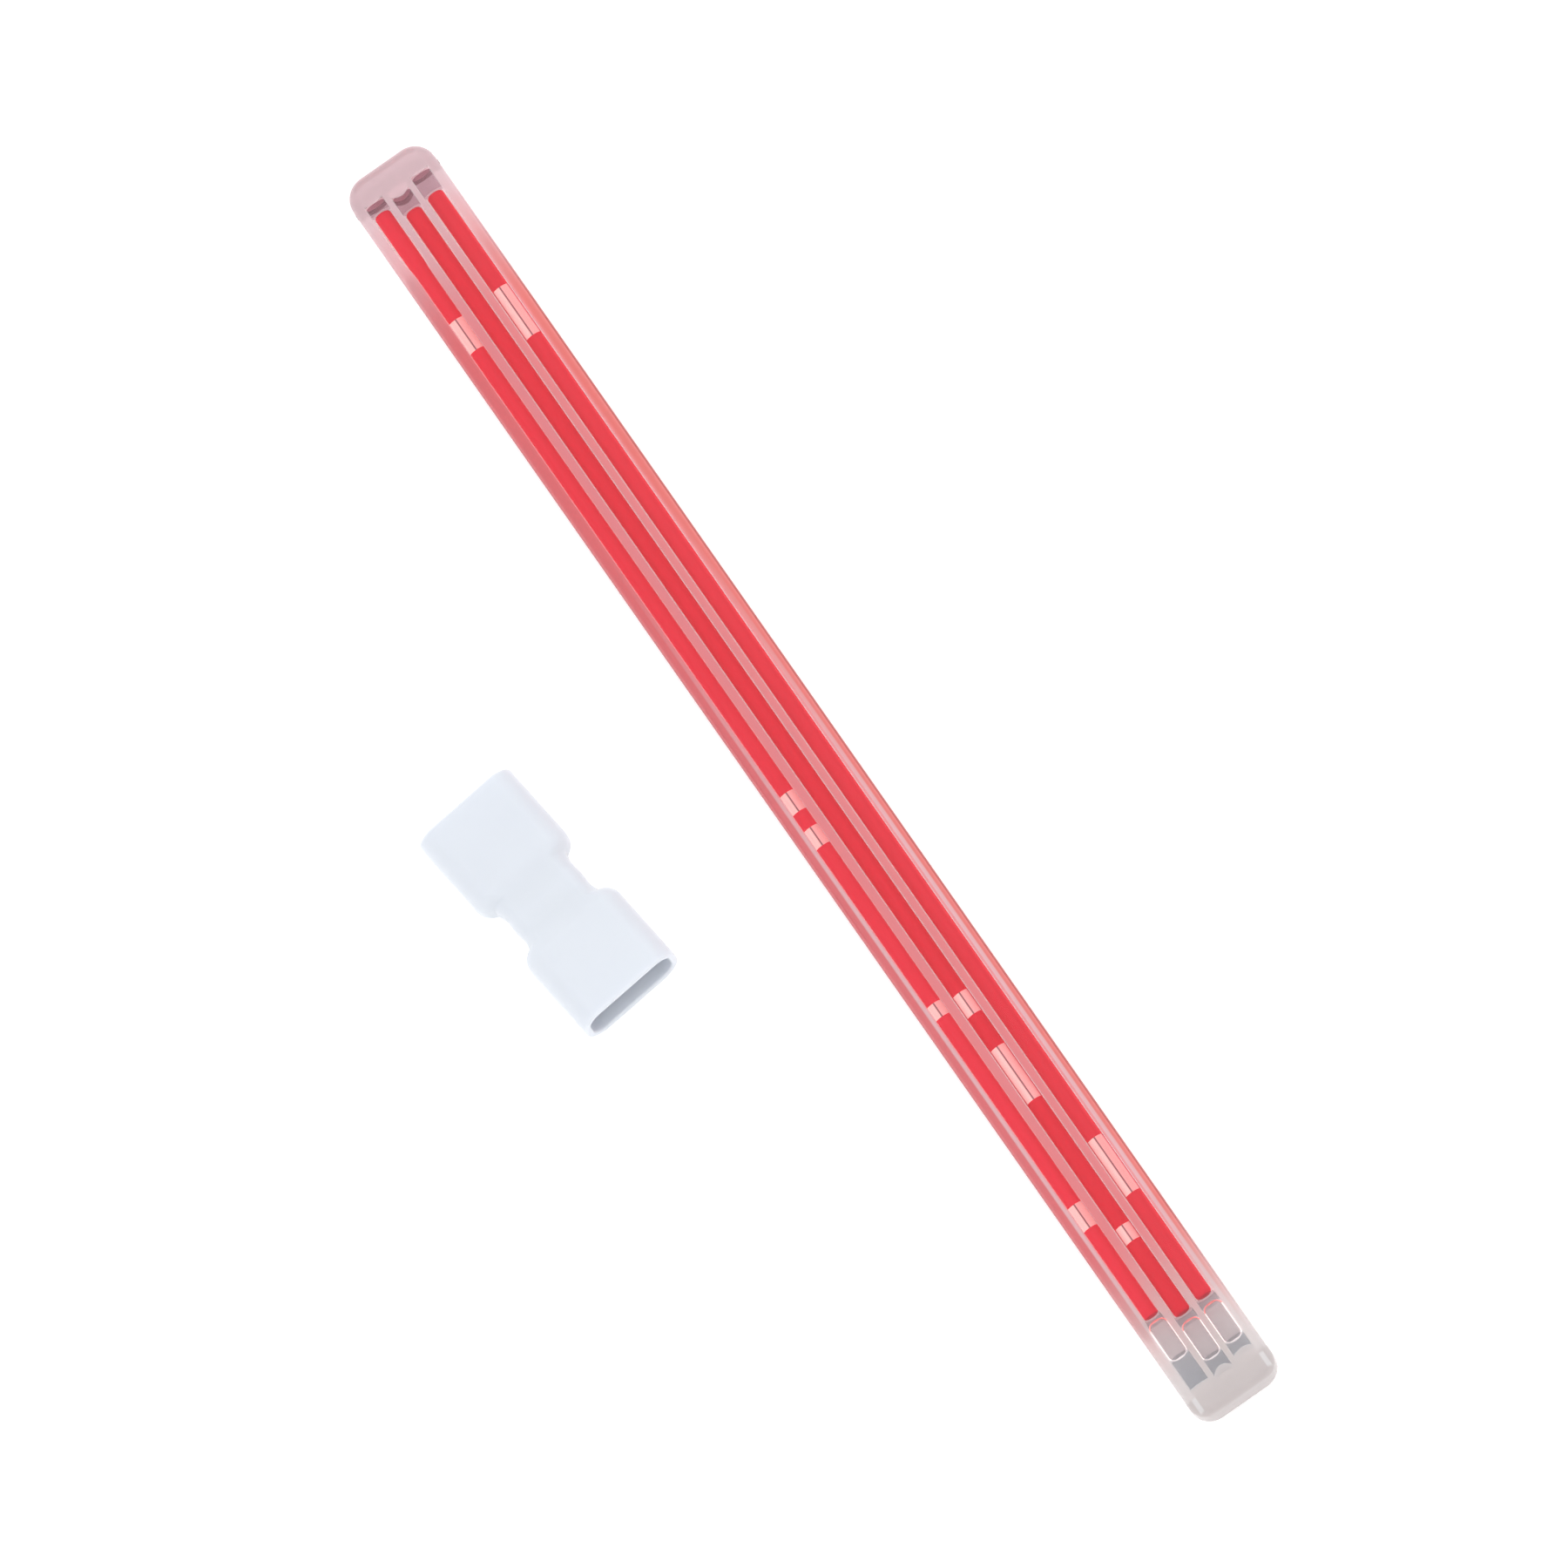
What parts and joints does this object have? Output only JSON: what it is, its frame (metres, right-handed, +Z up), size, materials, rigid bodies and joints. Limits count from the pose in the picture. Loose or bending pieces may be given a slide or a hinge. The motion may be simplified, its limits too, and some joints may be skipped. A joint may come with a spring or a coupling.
{
  "type": "chemical light stick",
  "caption": "Flat translucent chemical light stick with glass ampoules of red dye in its bores, and a loose double-ended sleeve that joins its ends.",
  "frame": {"origin": "centre of the strip's flat underside, on the surface that strip and sleeve lie on", "axes": "+X along the strip to its front end, +Y across the strip away from the sleeve, +Z up out of the surface"},
  "size_m": [0.2, 0.0515, 0.0074],
  "materials": {
    "strip_plastic": "translucent soft plastic, stained pink by the dye behind it, fairly glossy",
    "seal_plastic": "milky translucent plastic, satin",
    "ampoule_glass": "clear thin glass",
    "red_dye": "saturated red liquid",
    "clear_liquid": "clear, slightly grey liquid",
    "sleeve_plastic": "white translucent plastic, satin"
  },
  "bodies": {
    "strip": {"strip_body": "strip_plastic", "end_seal_rear": "seal_plastic", "end_seal_front": "seal_plastic", "bore_liquid_left": "clear_liquid", "bore_liquid_middle": "clear_liquid", "bore_liquid_right": "clear_liquid"},
    "ampoule_left": {"ampoule_left": "ampoule_glass", "dye_left_1": "red_dye", "dye_left_2": "red_dye", "dye_left_3": "red_dye"},
    "ampoule_middle": {"ampoule_middle": "ampoule_glass", "dye_middle_1": "red_dye", "dye_middle_2": "red_dye", "dye_middle_3": "red_dye", "dye_middle_4": "red_dye"},
    "ampoule_right": {"ampoule_right": "ampoule_glass", "dye_right_1": "red_dye", "dye_right_2": "red_dye", "dye_right_3": "red_dye", "dye_right_4": "red_dye", "dye_right_5": "red_dye", "dye_right_6": "red_dye"},
    "sleeve": {"joining_sleeve": "sleeve_plastic"}
  },
  "joints": [
    {"name": "ampoule_left_slide", "type": "slide", "parent": "strip", "child": "ampoule_left", "axis": [1, 0, 0], "range_m": [-0.0025, 0.0085], "deforming": ["bore_liquid_left"]},
    {"name": "ampoule_middle_slide", "type": "slide", "parent": "strip", "child": "ampoule_middle", "axis": [1, 0, 0], "range_m": [-0.0015, 0.0086], "deforming": ["bore_liquid_middle"]},
    {"name": "ampoule_right_slide", "type": "slide", "parent": "strip", "child": "ampoule_right", "axis": [1, 0, 0], "range_m": [-0.0008, 0.011], "deforming": ["bore_liquid_right"]},
    {"name": "sleeve_lift", "type": "slide", "parent": "strip", "child": "sleeve", "axis": [0, 0, 1], "range_m": [0, 0.03]}
  ]
}
